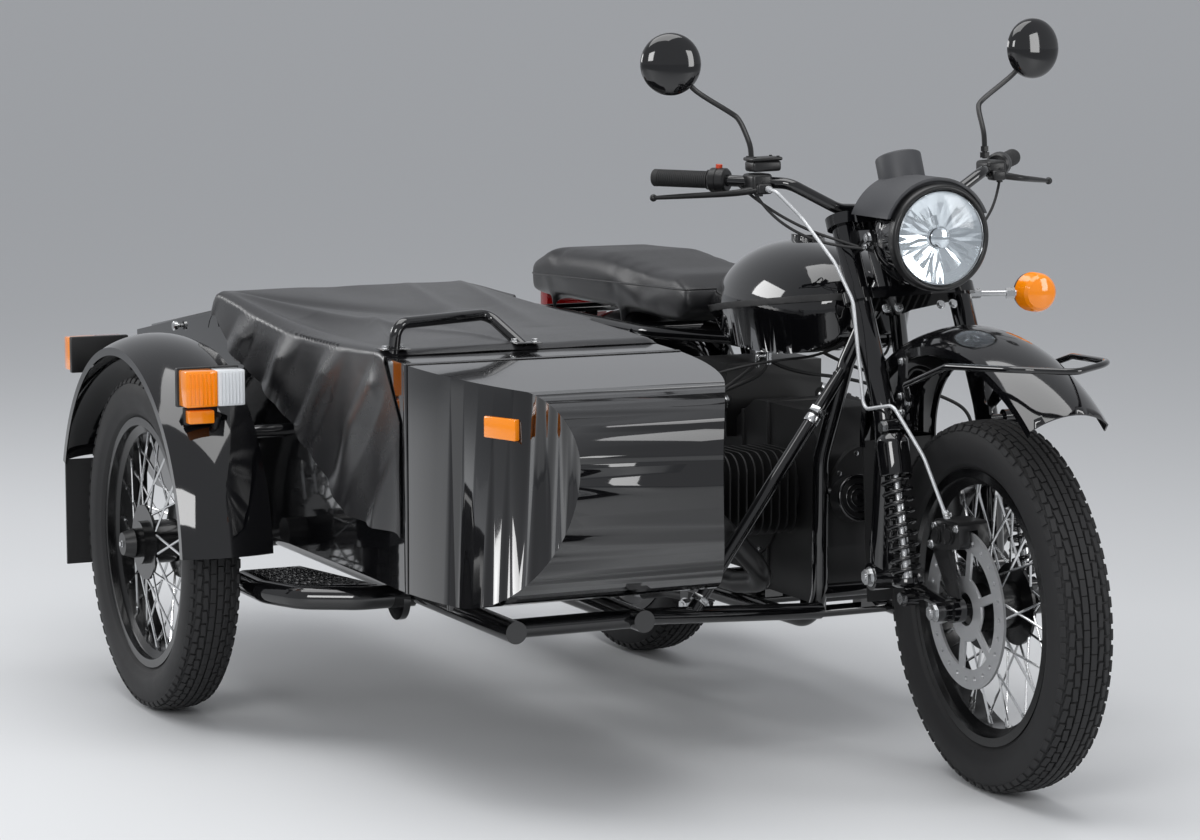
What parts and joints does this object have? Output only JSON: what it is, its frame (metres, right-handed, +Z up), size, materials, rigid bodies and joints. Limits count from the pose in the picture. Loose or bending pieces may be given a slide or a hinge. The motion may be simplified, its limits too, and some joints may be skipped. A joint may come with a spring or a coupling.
{
  "type": "sidecar motorcycle",
  "caption": "Flat-twin motorcycle with a leading-link fork, wire wheels and a boat-nosed passenger sidecar on its right, cockpit under a tonneau cover.",
  "frame": {"origin": "middle of the footprint box, on the ground", "axes": "+X forwards, +Y to the machine's left, +Z up"},
  "size_m": [2.4422, 1.6891, 1.4034],
  "materials": {
    "gloss_black": "gloss black enamel",
    "satin_black": "satin black paint",
    "engine_black": "black heat-resistant paint",
    "tyre_rubber": "matt rubber",
    "spoke_steel": "zinc plated, bright",
    "disc_steel": "ground",
    "zinc": "zinc plated",
    "cast_alloy": "cast",
    "black_rubber": "matt",
    "grey_plastic": "fine grain",
    "vinyl": "grained black vinyl",
    "clear_lens": "clear",
    "amber_lens": "clear amber",
    "red_lens": "clear red"
  },
  "bodies": {
    "chassis": {"main_frame": "gloss_black", "engine_case": "engine_black", "cylinders": "engine_black", "cylinder_heads": "engine_black", "carburettors": "cast_alloy", "air_box": "satin_black", "exhausts": "satin_black", "fuel_tank": "gloss_black", "seat": "vinyl", "side_boxes": "gloss_black", "rear_fender": "gloss_black", "tail_lamp": "red_lens", "rear_swing_arm": "satin_black", "rear_shocks": "gloss_black", "horn": "satin_black", "foot_pegs": "satin_black", "sidecar_frame": "gloss_black", "sidecar_struts": "gloss_black", "sidecar_arm": "satin_black", "sidecar_body": "gloss_black", "tonneau_cover": "vinyl", "grab_handle": "gloss_black", "side_reflector": "amber_lens", "sidecar_fender": "gloss_black", "sidecar_mud_flap": "black_rubber", "fender_lamps": "amber_lens", "side_step": "gloss_black"},
    "fork": {"fork_legs": "gloss_black", "leading_link": "gloss_black", "front_shocks": "gloss_black", "front_fender": "gloss_black", "fender_guard": "gloss_black", "front_mud_flap": "black_rubber", "headlight_shell": "gloss_black", "headlight_lens": "clear_lens", "headlight_cowl": "grey_plastic", "speedometer": "grey_plastic", "handlebar": "gloss_black", "grips": "black_rubber", "levers": "satin_black", "mirrors": "satin_black", "left_turn_signal": "amber_lens", "brake_caliper": "satin_black", "brake_hose": "zinc"},
    "front_wheel": {"front_wheel": "spoke_steel", "front_tyre": "tyre_rubber", "front_brake_disc": "disc_steel"},
    "rear_wheel": {"rear_wheel": "spoke_steel", "rear_tyre": "tyre_rubber"},
    "sidecar_wheel": {"sidecar_wheel": "spoke_steel", "sidecar_tyre": "tyre_rubber"},
    "boot_lid": {"boot_lid": "gloss_black"},
    "centre_stand": {"centre_stand": "satin_black"}
  },
  "joints": [
    {"name": "steering", "type": "hinge", "parent": "chassis", "child": "fork", "pos_m": [0.4385, 0.4015, 0.969], "axis": [-0.4384, 0, 0.8988], "range_deg": [-34, 42]},
    {"name": "front_wheel_spin", "type": "hinge", "parent": "fork", "child": "front_wheel", "pos_m": [0.87823, 0.39306, 0.34287], "axis": [0.0627, 0.9976, 0.0306], "continuous": true},
    {"name": "rear_wheel_spin", "type": "hinge", "parent": "chassis", "child": "rear_wheel", "pos_m": [-0.6215, 0.4015, 0.343], "axis": [0, 1, 0], "continuous": true},
    {"name": "sidecar_wheel_spin", "type": "hinge", "parent": "chassis", "child": "sidecar_wheel", "pos_m": [-0.4795, -0.7535, 0.343], "axis": [0, 1, 0], "continuous": true},
    {"name": "boot_lid_hinge", "type": "hinge", "parent": "chassis", "child": "boot_lid", "pos_m": [-0.6715, -0.3015, 0.799], "axis": [0, 1, 0], "range_deg": [0, 75]},
    {"name": "centre_stand_pivot", "type": "hinge", "parent": "chassis", "child": "centre_stand", "pos_m": [-0.1515, 0.4015, 0.2], "axis": [0, -1, 0], "range_deg": [0, 70]}
  ]
}
